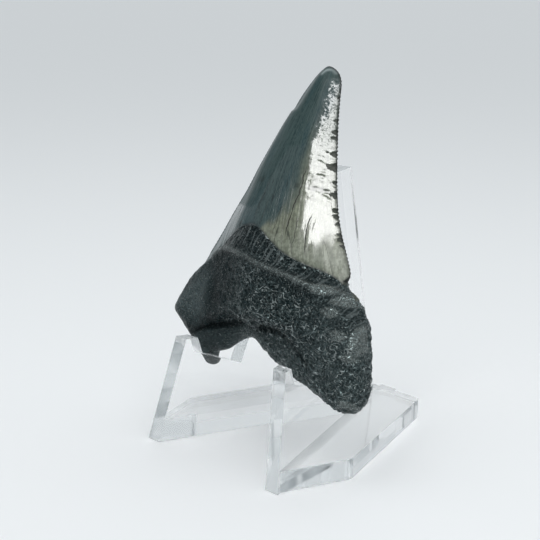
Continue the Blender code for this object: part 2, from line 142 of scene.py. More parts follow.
LEDGE = [  # where the swelling of the root turns under towards the lobes
    (-24.0, 2.0), (-18.0, 4.6), (-12.5, 7.0), (-6.0, 8.8), (-2.2, 10.2), (0.4, 9.4),
    (5.0, 10.2), (9.0, 9.8), (13.0, 7.6), (19.0, 3.4), (27.0, -2.0),
]

# ---- Tooth: finer than the solid ----
ENAMEL_STEP = 0.12
ENAMEL_EASE = 4.0
LABIAL_DIP = 3.2  # how much lower the enamel reaches in the middle of the flat face
LABIAL_DIP_REACH = 17.0  # half width of that dip
SERRATION_WEAR = (0.55, 0.9)  # share of their depth: its middle, and how far it varies
WEAR_LENGTH = 3.0
WEAR_SEED = 7.0
LEFT_WEAR = 0.35  # what is left of them on the left edge
NOTCH_REACH = 0.3  # how far their notches run in over both faces
NOTCH_DEPTH = 0.07
NOTCH_CLEAR = 0.1  # the very edge has its own serrations
RIM_SHADE = 0.26  # how softly the right edge's dull rim, darkened with painted shade, fades out
RIM_REACH = 1.0  # and it ends this far left of the edge
GRAIN_SPREAD = 16.0  # width that the crown's grain is laid out to
NET = 0.25  # spacing of the net's points
NET_CLEAR = 0.55  # they keep this share of it from the rim and the rows
RIM_CLEAR = 0.03  # the rows' points keep this far from the rim
RIM_TURN = math.radians(4.0)  # steps of the rounded root edge
RIM_STEPS = (2, 3, 4, 5, 6, 7, 8)  # and those that carry a row of points
SEAM_ROWS = (-0.12, 0.0, 0.12)  # rows of points along the enamel's edge
CRACK_ROWS = (-2.0, -1.0, 0.0, 1.0, 2.0)  # and beside a crack, in its widths
CRACK_SPACING = 0.6  # of a crack's points, in spacings of the net
CRACK_WIDTH = 0.2
CRACK_WANDER = 0.22
CRACK_WANDERS = (1.1, 2, 3.0)  # size, octaves and seed of a noise, as in those below
CRACK_FADE = 1.5  # length over which a crack's ends fade out
CRACK_DEPTH = 0.02
CRACKS = [  # long cracks down the domed enamel: share of the depth, line
    (1.0, [(4.8, 41.2), (5.0, 37.3), (4.9, 34.7), (4.8, 32.3), (4.9, 29.3), (5.1, 26.8)]),
    (0.7, [(6.2, 31.6), (6.7, 28.4), (7.1, 24.9)]),
    (1.0, [(8.2, 32.7), (8.4, 29.6), (9.1, 26.4), (9.6, 24.4)]),
    (0.6, [(9.0, 32.0), (9.5, 28.4)]),
    (0.5, [(-0.6, 34.3), (-1.0, 30.2), (-1.3, 27.6)]),
    (0.5, [(-2.9, 34.0), (-3.4, 28.5)]),
    (0.5, [(-4.7, 34.4), (-6.1, 29.6)]),
    (0.6, [(2.6, 33.8), (2.5, 29.4), (2.4, 26.6)]),
]
CHIPS = [  # along the right edge of the blade: height v, radius
    (56.0, 0.6), (54.8, 0.7), (50.5, 1.1), (48.3, 1.3), (47.2, 1.1), (44.2, 1.5), (41.8, 1.9),
    (38.8, 1.1), (36.7, 1.7), (33.8, 1.1), (32.7, 1.5), (31.4, 0.9), (29.5, 1.0), (28.7, 1.4),
    (27.5, 1.0),
]
CHIP_DEPTH = 0.3
CHIP_TALL = 1.9  # times wider than high
CHIP_STRAYS = 0.45  # how far a chip's outline strays, in radii
CHIP_RAGGED = (0.45, 2, 31.0)
RIDGE = [  # low crest between the collar and the root
    (-14.0, 20.6), (-9.0, 22.4), (-2.4, 22.1), (2.1, 21.1), (6.4, 20.3), (10.0, 19.7),
    (13.2, 19.1), (17.0, 18.9), (20.7, 18.2),
]
RIDGE_WIDTH = 0.8
RIDGE_HEIGHT = 0.6
RIDGE_RUBBED = (0.75, 0.55)  # polish along its top, painted with a highlight as well, and share of its width
DIMPLE = (17.2, 12.2, 1.2, 0.35)  # hollow on the right lobe: u, v, radius, depth
WORM_TURN = math.radians(-25.0)  # the root's worm-like ridges run down to the right
WORM_LONG = 0.55  # and are drawn out along that way
WORM_STRAY = 0.9  # how far they stray from it
WORM_STRAYS = (3.0, 1, 41.0)
WORM_LEVELS = (1.3, 2, 17.0)
WORM_WIDTH = 0.3
WORM_HEIGHT = 0.2
POLISHED = [  # rubbed patches on the root, glossier and painted with a highlight: u, v, half width, half height
    (15.6, 18.9, 2.0, 0.9), (19.8, 17.6, 1.9, 0.8), (24.6, 12.0, 1.2, 3.4), (21.3, 11.6, 1.6, 0.9),
    (24.0, 8.0, 1.5, 0.6), (25.0, -0.2, 1.3, 0.8), (18.6, 15.3, 1.5, 0.9),
]
POLISH_REACH = 1.6  # half widths squared at which the patches end
CREASE_DROP = 0.9  # the crease, a groove darkened with painted shade, runs this far below the ledge's line
CREASE_WIDTH = 0.35
CREASE_DEPTH = 0.5
CREASE_ENDS = ((-19.0, -15.0), (13.0, 17.0))  # stretches of u at its left and right ends
COARSE = (0.35, 1.5)  # coarse relief at the root's rim, and how far in it is full
COARSE_COLLAR = 0.8  # share of it that the collar is without
CROWN_CALM = 1.5  # the crown's waves grow in over this distance
FINE_RELIEF = [  # weight, height, size, squeeze, octaves, seed
    ("coarse", 0.24, 2.6, EVEN, 2, 5.0),
    ("coarse", 0.07, 1.0, EVEN, 2, 9.0),
    ("coarse_rough", 0.15, 1.0, EVEN, 2, 9.0),
    ("collar", 0.14, 0.9, (1.0, 0.25, 1.0), 2, 23.0),
    ("waved", 0.05, 1.6, (1.0, 0.2, 1.0), 2, 14.0),
    ("hammered", 0.08, 1.0, (1.0, 0.8, 1.0), 1, 21.0),
    ("wrinkled", 0.10, 1.2, (0.6, 1.6, 1.0), 2, 28.3),
]

# ---- Tooth: where its finishes and its painted light and shade are ----
SEAM = 0.3  # width over which root turns to enamel
SEAM_LINE = 0.35  # half width of the dark line there
STREAKY = ((1.0, 0.25, 1.0), (3.0, 3, 11.0))  # squeeze and noise that the bounds follow
COLLAR_BEGINS = (0.0, 0.8)  # stretches of distance below the enamel
COLLAR_ENDS = (4.0, 7.0)
STREAKS_END = (3.0, 5.0)
OLIVE_FROM = [  # the olive begins to the right of this line
    (-16.0, 20.0), (-6.0, 24.0), (-1.0, 27.6), (1.8, 29.6), (3.5, 32.0), (3.9, 36.0), (3.6, 42.0),
    (4.4, 48.0), (6.0, 56.0), (9.0, 62.0),
]
OLIVE_SOFT = 2.6  # width over which it turns from slate
OLIVE_STREAKS = 1.5
OLIVE_LABIAL = 0.6  # share of it on the flat face
OLIVE_TIP = (0.65, (32.0, 54.0))  # and lost towards the tip, over this v
FLANK = (0.35, 0.80)  # the right bevel, from the dome's middle 0 to the edge 1
HAMMERED = ((43.0, 47.0), (57.5, 60.0))  # v over which it begins and ends
WRINKLED = ((33.5, 36.0), (43.0, 47.0))
PALE = (24.5, 29.5)  # the olive is pale below this stretch of v
PALE_STREAKS = 2.0
CRAZED = (35.0, 44.0)  # hair lines below this stretch of v
CRAZED_STREAKS = 4.0
MATT_V = (27.4, 2.6)  # the foot is matt below this v, and this much higher at the edge
MATT_RISES = (0.55, 1.0)  # from the dome's middle 0 to the edge 1
MATT_ACROSS = (0.1, 0.5)
MATT_SOFT = 2.5
MATT_STREAKS = 2.5
GLEAM_FROM = 4.8  # the polished flank begins right of this u
GLEAM_TOP = 57.6  # and ends below this v
GLEAM_LOW = (43.0, 47.0)  # the dull skin beside it begins over this v
GLEAM_LEFT = 13.0  # and that much lower down the left flank
GLEAM_LOWERS = (-5.0, 1.0)
GLEAM_CLIP = 3.0  # distances are kept up to here
GLEAM_NEVER = 4.0  # and shifted by this where there is no dull skin
TIP_HIGHLIGHT = [(2.2, 59.0), (2.7, 59.8), (3.6, 60.1), (4.5, 59.6)]  # painted highlight: pale crescent at the tip where the overhead light gleams
TIP_HIGHLIGHT_WIDTH = 0.3
WORMS_FROM = (-7.0, 4.0)  # the worm-like ridges grow over this u
ROUGH_FROM = (-12.0, 6.0)
PAINTED_LIGHT_LEFT = ((-17.0, -11.0), (4.0, 10.0))  # painted light: lighter left flank of the root, in u and v
PAINTED_LIGHT_LOW = (0.42, (0.0, 1.5))  # painted light below the crease, and how far down it grows
PAINTED_LIGHT_RIGHT = (0.30, (11.0, 20.0))  # and painted light on the right lobe, over this u

# ---- Patterns and colours ----
Pattern = namedtuple("Pattern", "squeeze scale low high detail rough warp", defaults=(1.0, 0.5, 0.0))
ENAMEL_STREAKS = Pattern((1.0, 0.07, 0.3), 1.9, 0.33, 0.67, 3.0, 0.6)
SLATE_PATCHES = Pattern((0.5, 0.16, 0.2), 0.55, 0.50, 0.62)
SLATE_GRAINS = Pattern((1.0, 0.3, 0.3), 4.5, 0.40, 0.60)
OLIVE_MOTTLE = Pattern((1.0, 0.6, 1.0), 0.8, 0.38, 0.62, 3.0, 0.6)
OLIVE_GRAINS = Pattern((1.0, 0.7, 1.0), 1.9, 0.42, 0.62)
ROOT_BROAD = Pattern(EVEN, 0.35, 0.40, 0.60)
ROOT_GRIT = Pattern(EVEN, 2.6, 0.36, 0.64, warp=0.5)
# pale flecks painted as glints of light on tiny crests
ROOT_GLINT_FLECKS = Pattern(EVEN, 3.1, 0.62, 0.68)
GLINT_STROKE_AREAS = Pattern(EVEN, 0.8, 0.48, 0.60)
COLLAR_STREAKS = Pattern((1.0, 0.14, 0.0), 2.0, 0.54, 0.66, detail=0.0)
HAIR_LINES = ((1.0, 0.06, 0.0), 0.9, 0.006, 0.018)  # squeeze, scale, thinnest, thickest
# thin pale strokes along the winding grain, painted as glints
ROOT_GLINT_STROKES = (EVEN, 1.6, 0.015, 0.055)
CRACK_LINE = (0.05, 0.13)  # half widths of a crack's dark line and soft edge
CHIP_LINE = (0.0, 0.12)  # levels over which the chips' colour begins
CHIP_LIP_SHADE = (0.10, 0.26)  # and the painted shade of their dark lip ends
CHIP_LIP_SHADE_LEFT = 0.15
GLEAM_SPECKLE = (1.8, 3.2)  # scale and reach of the specks at the gleam's bound
GLEAM_SOFT = (-0.35, 0.35)
GLINT_FLECKS_THIN = (0.2, 0.9, 0.35, 1.0)  # fewer painted glints where the broad tone is low

SLATE = ((0.024, 0.043, 0.044), (0.053, 0.084, 0.081))  # darkest and lightest of the streaks
OLIVE = ((0.160, 0.176, 0.128), (0.285, 0.305, 0.225))
PALE_OLIVE = ((0.200, 0.220, 0.170), (0.320, 0.340, 0.270))
# the root's own dark tone in the grit's pits, darkened further as painted shade
PIT_TONE_AND_SHADE = ((0.0010, 0.0045, 0.0055), (0.0045, 0.0105, 0.0115))
GRIT_TONE = ((0.004, 0.011, 0.013), (0.015, 0.026, 0.028))  # smooth, rough
TINTS = {  # colour laid over the ones before, and how strongly
    "patches": (0.030, 0.060, 0.066, 0.6),
    "grains": (0.078, 0.112, 0.109, 0.5),
    "mottle": (0.118, 0.122, 0.084, 0.45),
    "olive_grains": (0.105, 0.112, 0.080, 0.5),
    "hair": (0.012, 0.016, 0.014, 0.6),
    "cracks": (0.006, 0.005, 0.003, 1.0),
    "chips": (0.070, 0.078, 0.062, 1.0),
    # painted shade round the rim of each chip's hollow
    "lip": (0.012, 0.014, 0.011, 1.0),
    # painted highlight on the tip's crescent
    "tip_highlight": (0.34, 0.39, 0.39, 0.8),
    "edge": (0.020, 0.026, 0.026, 0.8),
    # the right edge's rim: worn dull, and darkened with painted shade
    "rim": (0.008, 0.010, 0.010, 1.0),
    "worms": (0.044, 0.054, 0.053, 0.30),
    # painted light where the root faces the light
    "light": (0.105, 0.135, 0.137, 1.0),
    "collar": (0.002, 0.005, 0.006, 0.5),
    # painted glints: pale flecks
    "flecks": (0.26, 0.28, 0.27, 0.7),
    # painted glints: thin pale strokes along the grain
    "strokes": (0.27, 0.295, 0.29, 0.9),
    "streaks": (0.12, 0.14, 0.14, 0.7),
    # painted highlight on the polished patches and the ridge's top
    "polish_highlight": (0.120, 0.122, 0.114, 1.0),
    # painted shade in the crease under the swelling
    "crease_and_shade": (0.002, 0.004, 0.005, 1.0),
}
PAINTED_LIGHT_GRIT = (0.4, 0.85)  # strength of the painted light in pits and on grit
# strength of the painted highlight in pits and on grit
POLISH_HIGHLIGHT_GRIT = (0.2, 0.75)

# ---- Gloss, as roughness and as strength of the mirror ----
ENAMEL_IOR = 1.62
ENAMEL_ROUGH = {
    "slate": 0.10, "olive": 0.13, "hammered": 0.26, "wrinkled": 0.17, "matt": 0.32, "skin": 0.30,
    "broken": 0.5,
}
ENAMEL_MIRROR = {"clean": 0.5, "matt": 0.16, "skin": 0.06, "broken": 0.12}
ENAMEL_BUMPS = {"streaks": 0.06, "hammer": 0.30, "hair": -0.03}
STREAK_BUMP_DETAIL = 1.0
HAMMER_SCALE = 1.9
HAMMER_WARP = 0.4
ENAMEL_BUMP = 0.00025  # metres
ROOT_IOR = 1.5
ROOT_ROUGH = (0.40, 0.24)  # in the pits and on the grit
POLISH_ROUGH = 0.22
ROOT_MIRROR = (0.05, 0.9)  # in the pits and on the crests
ROOT_CRESTS = (0.08, 0.35)  # how high crests are where the root is smooth and rough
WORM_CREST = 0.9
ROOT_TINT = (0.8, 1.0, 1.0, 1.0)
ROOT_BUMPS = {"grit": 1.0, "flecks": 0.6, "streaks": 0.5}
ROOT_BUMP = 0.00022  # metres

# ---- Clear plastic ----
CLEAR_IOR = 1.49
CLEAR_ROUGH = 0.05
CLEAR_WAVES = ((1.0, 1.0, 2.5), 160.0, 0.6)  # squeeze, scale per metre, warp
CLEAR_BUMP = 0.000006  # metres
CLEAR_TINT = (0.86, 0.88, 0.885, 1.0)
CLEAR_DENSITY = 16.0
CLEAR_BOUNCES = 40  # light runs far inside the easel
CLEAR_BLUR = 0.0  # blurred reflections would darken what is seen through it
FLAT_WEIGHT = 100  # the large flat faces rule the shading at their edges

# ---- Camera, in the easel's frame ----
CAMERA_AT = (152.003, -130.948, 88.355)  # millimetres
CAMERA_TURN = math.radians(45.933)  # to the right of the easel's front
CAMERA_FALL = math.radians(14.0)  # looking down
CAMERA_CLIP = (0.005, 20.0)
FOCAL_PIXELS = 1126.0
FRAME_PIXELS = 540.0
SENSOR_MM = 36.0

# ---- Studio ----
FLOOR_HALF = 14.0
FLOOR_DROP = 0.00008  # the base doesn't touch the floor face to face
FLOOR_TINT = (0.82, 0.825, 0.83, 1.0)
FLOOR_ROUGH = 0.9
FLOOR_MIRROR = 0.1
DIM = (0.27, 0.30, 0.32)
BEHIND = (0.66, 0.70, 0.72)
BEHIND_FROM = (-0.35, 0.55)  # of the direction's backward part
OVERHEAD = (1.07, 1.11, 1.13)
OVERHEAD_FROM = (0.62, 0.86)  # sine of the angle above the floor
LAMP_TARGET = (0.0, 0.0, 0.04)
KEY = (46.5, 38.0, 0.5, 0.29, 0.24, 13.0)  # turn, rise, distance, width, height, radiance
FILL = (46.0, 68.0, 0.42, 0.45, 0.45, 1.35)


def place_object(name, data):
    """A new object in the scene."""
    thing = bpy.data.objects.new(name, data)
    bpy.context.scene.collection.objects.link(thing)
    return thing


def easel_origin():
    """The easel frame's origin in the row frame, in metres."""
    low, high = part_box("stand")
    return Vector((0.5 * (low.x + high.x), low.y, 0.0))


# ---- Shares and curves ----

def ramp(x):
    """Smooth step from 0 at x = 0 to 1 at x = 1."""
    x = np.clip(x, 0.0, 1.0)
    return x * x * (3.0 - 2.0 * x)


def grows(x, stretch):
    """Share that grows from 0 to 1 over a stretch."""
    low, high = stretch
    return ramp((x - low) / (high - low))


def fades(x, stretch):
    """Share that falls from 1 to 0 over a stretch."""
    return 1.0 - grows(x, stretch)


def crossing(x, width):
    """Share that grows from 0 to 1 over a width centred on x = 0."""
    return ramp(x / width + 0.5)


def peak(x, width):
    """1 at x = 0, falling off over a width to either side."""
    return np.exp(-((x / width) ** 2))


def quarter(x):
    """Quarter circle from 0 at x = 0 to 1 at x = 1."""
    return np.sqrt(1.0 - (1.0 - np.clip(x, 0.0, 1.0)) ** 2)


def smooth_path(points, spacing):
    """Catmull-Rom curve through the points, resampled at an even spacing."""
    knots = np.array([points[0], *points, points[-1]], dtype=float)
    knots[0] = 2.0 * knots[1] - knots[2]
    knots[-1] = 2.0 * knots[-2] - knots[-3]
    t = np.linspace(0.0, 1.0, CURVE_STEPS, endpoint=False)[:, None]
    spans = []
    for a, b, c, d in zip(knots, knots[1:], knots[2:], knots[3:]):
        bend = (2 * a - 5 * b + 4 * c - d) * t**2 + (3 * b - a - 3 * c + d) * t**3
        spans.append(0.5 * (2 * b + (c - a) * t + bend))
    fine = np.vstack([*spans, knots[-2][None]])
    length = np.append(0.0, np.cumsum(np.linalg.norm(np.diff(fine, axis=0), axis=1)))
    count = max(2, round(length[-1] / spacing))
    stops = np.linspace(0.0, length[-1], count + 1)
    return np.column_stack([np.interp(stops, length, fine[:, k]) for k in (0, 1)])


def outward(path):
    """Unit normals of a path that runs anticlockwise round the tooth."""
    along = np.gradient(path, axis=0)
    along /= np.linalg.norm(along, axis=1)[:, None]
    return np.column_stack([along[:, 1], -along[:, 0]])


def nearest(points, path):
    """Distance of each point from a finely sampled path, and the index there."""
    tree = kdtree.KDTree(len(path))
    for k, (u, v) in enumerate(path):
        tree.insert((u, v, 0.0), k)
    tree.balance()
    found = [tree.find((u, v, 0.0)) for u, v in points]
    return np.array([hit[2] for hit in found]), np.array([hit[1] for hit in found])


def is_inside(points, loop):
    """Whether each point lies inside a closed loop."""
    x, y = points[:, 0], points[:, 1]
    inside = np.zeros(len(points), dtype=bool)
    for (x1, y1), (x2, y2) in zip(loop, np.roll(loop, -1, axis=0)):
        if y1 != y2:
            spans = (y1 > y) != (y2 > y)
            inside ^= spans & (x < x1 + (x2 - x1) * (y - y1) / (y2 - y1))
    return inside


def follow(points, u):
    """Height v of a line of control points over u, with its corners eased."""
    line = smooth_path(points, LINE_SPACING)
    return np.interp(u, line[:, 0], line[:, 1])


def beside(points, line):
    """Signed distance of points from a line, and how far in from its ends they are."""
    path = smooth_path(line, FINE_SPACING)
    gap, index = nearest(points, path)
    along = np.gradient(path, axis=0)[index]
    off = points - path[index]
    side = np.sign(along[:, 0] * off[:, 1] - along[:, 1] * off[:, 0])
    inner = np.minimum(index, len(path) - 1 - index) * FINE_SPACING
    return gap * side, inner


def bump_line(place, line, width):
    """1 on a line, falling off over a width to either side."""
    gap, _ = nearest(place[:, :2], smooth_path(line, FINE_SPACING))
    return peak(gap, width)


def noise_at(points, size, octaves, seed):
    """Fractal noise, about -1 to 1, with features of the given size."""
    shift = Vector([seed * step for step in SEED_STEPS])
    return np.array([
        noise.fractal(Vector(p) / size + shift, 1.0, 2.0, octaves, noise_basis="PERLIN_ORIGINAL")
        for p in points
    ])


# ---- Form of the tooth ----

def blade_span(v):
    """Left and right edges of the crown at v, flared on below its foot."""
    path = smooth_path([point for point in BLADE if point not in CORNER], LINE_SPACING)
    tip = path[:, 1].argmax()
    right, left = path[FOOT_STEPS:tip + 1], path[tip:][::-1]
    flare_right = np.clip(right[0, 1] - v, 0.0, None) * BLADE_FLARE
    flare_left = np.clip(left[0, 1] - v, 0.0, None) * BLADE_FLARE
    u_right = np.interp(v, right[:, 1], right[:, 0]) + flare_right
    u_left = np.interp(v, left[:, 1], left[:, 0]) - flare_left
    return u_left, u_right


def across_crown(u, v):
    """-1 at the left edge of the blade, 0 in its middle, 1 at the right edge."""
    u_left, u_right = blade_span(v)
    half = np.maximum(0.5 * (u_right - u_left), LEAST_HALF)
    return np.clip((u - 0.5 * (u_left + u_right)) / half, -1.0, 1.0)


def tip_round(v):
    """1 up the crown, falling to 0 over the rounded tip."""
    return np.sqrt(1.0 - (1.0 - np.clip((TIP_V - v) / TIP_ROUND, 0.0, 1.0)) ** 3)


def dome_section(t, v):
    """Height of the dome across the crown: an arch between two flat bevels, plain at its foot."""
    plain = (1.0 - DOME_HOLLOW) * (1.0 - t**2) + DOME_HOLLOW * 0.5 * (1.0 + np.cos(math.pi * t))
    narrow = grows(v, BEVEL_NARROWS)
    place = np.where(t < 0.0, BEVEL_AT[0] - BEVEL_NARROW[0] * narrow, BEVEL_AT[1])
    height = np.where(t < 0.0, BEVEL_HEIGHT[0] + BEVEL_NARROW[1] * narrow, BEVEL_HEIGHT[1])
    arch = 1.0 - (1.0 - height) * np.abs(t / place) ** DOME_POWER
    bevel = height * (1.0 - np.abs(t)) / (1.0 - np.abs(place))
    soft = BEVEL_EASE + BEVEL_SOFT * grows(v, BEVEL_SOFTENS) * (t > 0.0)
    ease = np.clip(1.0 - np.abs(arch - bevel) / soft, 0.0, None)
    bevelled = np.minimum(arch, bevel) - 0.25 * soft * ease**2
    share = grows(v, BEVEL_FOOT) * np.where(t < 0.0, fades(v, BEVEL_TOP), 1.0)
    return plain + (bevelled - plain) * share


def lingual_height(u, v, depth):
    """Height w of the domed face: the crown's dome, the collar and the root's swelling."""
    climb = np.clip((TIP_V - v) / (TIP_V - DOME_FOOT_V), 0.0, 1.0) ** DOME_CLIMB
    dome = (DOME_TIP + (DOME_FOOT - DOME_TIP) * climb) * dome_section(across_crown(u, v), v)
    dome *= tip_round(v)
    below_enamel = follow(ENAMEL_EDGE, u) - v
    away = ramp(np.abs((u - SWELL_MIDDLE) / SWELL_REACH))
    rise = LEDGE_RISE + LEDGE_EASE * grows(u, LEDGE_OUT)
    swell = SWELL * crossing(v - follow(LEDGE, u), rise) * (1.0 - away)
    root = (LOBE_HEIGHT + swell) * quarter(depth / LOBE_ROUND)
    collar = COLLAR + (COLLAR_SIDE - COLLAR) * away
    surface = dome + (root - dome) * ramp(below_enamel / collar)
    step = ENAMEL_STEP * ramp(-below_enamel) * ramp(depth / ENAMEL_EASE) * tip_round(v)
    return np.maximum(surface + step, RIM)


def labial_height(u, v, depth):
    """Depth w of the flat face."""
    t = across_crown(u, v)
    taper = LABIAL_TIP + (1.0 - LABIAL_TIP) * ramp((TIP_V - v) / LABIAL_TAPER)
    crown = (1.0 - np.abs(t) ** LABIAL_POWER) * taper * tip_round(v)
    root = quarter(depth / LABIAL_ROUND)
    blend = crossing(follow(ENAMEL_EDGE, u) - v, LABIAL_BLEND)
    return -np.maximum(LABIAL_DEPTH * (crown + (root - crown) * blend), RIM)


def hook(u, v):
    """How far the lower end of the left lobe turns towards the flat side."""
    return -HOOK * fades(u, HOOK_AT[0]) * fades(v, HOOK_AT[1])


def lumps(points, reach):
    """Low lumps on the root, which fade out towards the enamel and the rim."""
    raw = [noise.noise(Vector((u, v, 0.0)) / LUMP_SIZE) for u, v in points]
    return LUMP_HEIGHT * np.array(raw) * reach


def tooth_to_row(u, v, w):
    """Points of the tooth's frame in the row frame, in metres."""
    lean = math.atan(REST_LEAN)
    w_axis = np.array((0.0, -math.cos(lean), math.sin(lean)))
    v_axis = np.array((0.0, math.sin(lean), math.cos(lean)))
    origin = np.array((0.0, *SEAT_REAR)) + w_axis * BLADE_OFFSET
    local = np.column_stack([u, np.zeros_like(u), np.zeros_like(u)])
    local += v[:, None] * v_axis + w[:, None] * w_axis + origin
    return local * MM + np.array(easel_origin())


# ---- Fine surface of the tooth ----

def serrated(path):
    """The blade's edge with rounded, unevenly worn serrations."""
    step = np.linalg.norm(path[1] - path[0])
    travel = np.arange(len(path)) * step
    uneven = [noise.noise(Vector((s / WEAR_LENGTH, WEAR_SEED, 0.0))) for s in travel]
    wear = SERRATION_WEAR[0] + SERRATION_WEAR[1] * np.array(uneven)
    wave = -0.5 * np.cos(2.0 * math.pi * travel / SERRATION_PITCH)
    fade = ramp((TIP_V - path[:, 1]) / TIP_ROUND)
    fade *= ramp(np.minimum(travel, travel[::-1]) / SERRATION_FADE)
    fade *= np.where(travel < travel[path[:, 1].argmax()], 1.0, LEFT_WEAR)
    return path + outward(path) * (wave * wear * fade * SERRATION_DEPTH)[:, None]


def side_rows(path, distances, plain):
    """Rows of points at distances to the left of a path, kept inside the outline."""
    rows = np.vstack([path - outward(path) * distance for distance in distances])
    return rows[is_inside(rows, plain)]


def rows_of_points(plain):
    """Rows along the rounded root edge, the enamel's edge and the cracks."""
    turns = LOBE_ROUND * (1.0 - np.cos(RIM_TURN * np.array(RIM_STEPS)))
    rows = [side_rows(smooth_path(ROOT, NET), turns, plain)]
    rows.append(side_rows(smooth_path(ENAMEL_EDGE, NET / 2.0), SEAM_ROWS, plain))
    beside_crack = CRACK_WIDTH * np.array(CRACK_ROWS)
    for _, line in CRACKS:
        rows.append(side_rows(smooth_path(line, CRACK_SPACING * NET), beside_crack, plain))
    return np.vstack(rows)


def grid_of_points(plain):
    """Points of equal triangles over the inside of the outline."""
    low, high = plain.min(axis=0), plain.max(axis=0)
    rows = []
    for k, v in enumerate(np.arange(low[1], high[1], NET * math.sqrt(0.75))):
        u = np.arange(low[0], high[0], NET) + 0.5 * NET * (k % 2)
        rows.append(np.column_stack([u, np.full_like(u, v)]))
    grid = np.vstack(rows)
    return grid[is_inside(grid, plain)]


def tooth_net():
    """Points and triangles over the tooth's outline, and the indices of its rim."""
    blade = smooth_path(BLADE, NET / 2.0)
    root = smooth_path(ROOT, NET)
    rim = np.vstack([serrated(blade)[:-1], root[:-1]])
    plain = np.vstack([blade[:-1], root[:-1]])
    rows = rows_of_points(plain)
    rows = rows[nearest(rows, rim)[0] > RIM_CLEAR]
    grid = grid_of_points(plain)
    grid = grid[nearest(grid, np.vstack([rim, rows]))[0] > NET_CLEAR * NET]
    net = np.vstack([rim, rows, grid])
    count = len(rim)
    edges = [(k, (k + 1) % count) for k in range(count)]
    verts, _, faces, origins, _, _ = delaunay_2d_cdt(
        [Vector(p) for p in net], edges, [], 1, SAME_PLACE,
    )
    points = np.array([tuple(vert) for vert in verts])
    place = {own[0]: k for k, own in enumerate(origins) if own and own[0] < count}
    return points, np.array(faces), [place[k] for k in range(count)]


def vertex_normals(points, faces):
    """Unit normals of the vertices, weighted by the area of their triangles."""
    a, b, c = (points[faces[:, k]] for k in range(3))
    across = np.cross(b - a, c - a)
    normals = np.zeros_like(points)
    for k in range(3):
        np.add.at(normals, faces[:, k], across)
    return normals / np.maximum(np.linalg.norm(normals, axis=1)[:, None], TINY)


def lower_edge(u, front):
    """Lower edge of the enamel: on the flat face it dips further down in the middle."""
    dip = np.where(front, 0.0, LABIAL_DIP) * (1.0 - ramp(np.abs(u) / LABIAL_DIP_REACH))
    return follow(ENAMEL_EDGE, u) - dip


def crown_masks(place, above, front):
    """Where the enamel's finishes and its painted highlight are, each from 0 to 1."""
    u, v, _ = place.T
    t = across_crown(u, v)
    squeeze, streaks = STREAKY
    streaky = noise_at(place * squeeze, *streaks)
    begins = np.interp(v, *np.array(OLIVE_FROM).T[::-1])
    olive = crossing(u - begins + OLIVE_STREAKS * streaky, OLIVE_SOFT)
    lost, up_the_tip = OLIVE_TIP
    flank = grows(t, FLANK) * front
    matt_v = MATT_V[0] + MATT_V[1] * grows(t, MATT_RISES) + MATT_STREAKS * streaky
    return {
        "crown": crossing(above, SEAM),
        "edge": peak(above, SEAM_LINE),
        "olive": olive * np.where(front, 1.0, OLIVE_LABIAL) * (1.0 - lost * grows(v, up_the_tip)),
        "hammered": flank * grows(v, HAMMERED[0]) * fades(v, HAMMERED[1]),
        "wrinkled": flank * grows(v, WRINKLED[0]) * fades(v, WRINKLED[1]),
        "pale": fades(v - PALE_STREAKS * streaky, PALE) * front,
        "crazed": fades(v - CRAZED_STREAKS * streaky, CRAZED),
        "matt": ramp((matt_v - v) / MATT_SOFT) * grows(t, MATT_ACROSS) * front,
        "dull": dull_field(u, v, front),
        # painted highlight: the pale crescent at the tip
        "tip_highlight": bump_line(place, TIP_HIGHLIGHT, TIP_HIGHLIGHT_WIDTH) * front,
    }


def dull_field(u, v, front):
    """Distance out of the gleaming flank, well below 0 where there is no dull skin at all."""
    outside = np.maximum(GLEAM_FROM - u, v - GLEAM_TOP).clip(-GLEAM_CLIP, GLEAM_CLIP)
    lower = GLEAM_LEFT * fades(u, GLEAM_LOWERS)
    return outside - GLEAM_NEVER * (1.0 - grows(v + lower, GLEAM_LOW) * front)


def blade_marks(place, crown):
    """The right edge's rim, worn dull and darkened with painted shade, and the notches that run in
    from the serrations.
    """
    blade = smooth_path(BLADE, FINEST_SPACING)
    gap, index = nearest(place[:, :2], blade)
    rim = np.exp(-gap / RIM_SHADE) * (index < len(blade) // 2) * crown
    rim *= place[:, 0] > blade[index, 0] - RIM_REACH
    notches = 0.5 * (1.0 + np.cos(2.0 * math.pi * index * FINEST_SPACING / SERRATION_PITCH))
    notches *= np.exp(-gap / NOTCH_REACH) * crown * ramp(gap / NOTCH_CLEAR)
    notches *= np.where(index < blade[:, 1].argmax(), 1.0, LEFT_WEAR)
    return {"rim": rim, "notches": notches}


def crack_marks(place, front):
    """Each point's nearest crack: the distance beside it, its share there and its groove."""
    strayed = place[:, :2].copy()
    strayed[:, 0] += CRACK_WANDER * noise_at(place * FLAT, *CRACK_WANDERS)
    side = np.ones(len(place))
    share = np.zeros(len(place))
    groove = np.zeros(len(place))
    for full_share, line in CRACKS:
        own_side, inner = beside(strayed, line)
        own_share = full_share * ramp(inner / CRACK_FADE) * front
        closer = (np.abs(own_side) < np.abs(side)) & front
        side = np.where(closer, own_side, side)
        share = np.where(closer, own_share, share)
        groove = np.maximum(groove, peak(own_side, CRACK_WIDTH) * own_share)
    return {"crack_side": side, "cracks": share, "groove": groove}


def chip_field(place, front):
    """Above 0 inside the ragged chips along the right edge, 1 at the middle of a chip."""
    path = smooth_path(BLADE, FINE_SPACING)
    right = path[:path[:, 1].argmax()]
    ragged = CHIP_STRAYS * noise_at(place * FLAT, *CHIP_RAGGED)
    share = np.full(len(place), -1.0)
    for v, radius in CHIPS:
        centre = right[np.abs(right[:, 1] - v).argmin()]
        off = np.abs(place[:, :2] - centre) / radius
        share = np.maximum(share, 1.0 - off[:, 0] - CHIP_TALL * off[:, 1] + ragged)
    return np.where(front, share, -1.0)


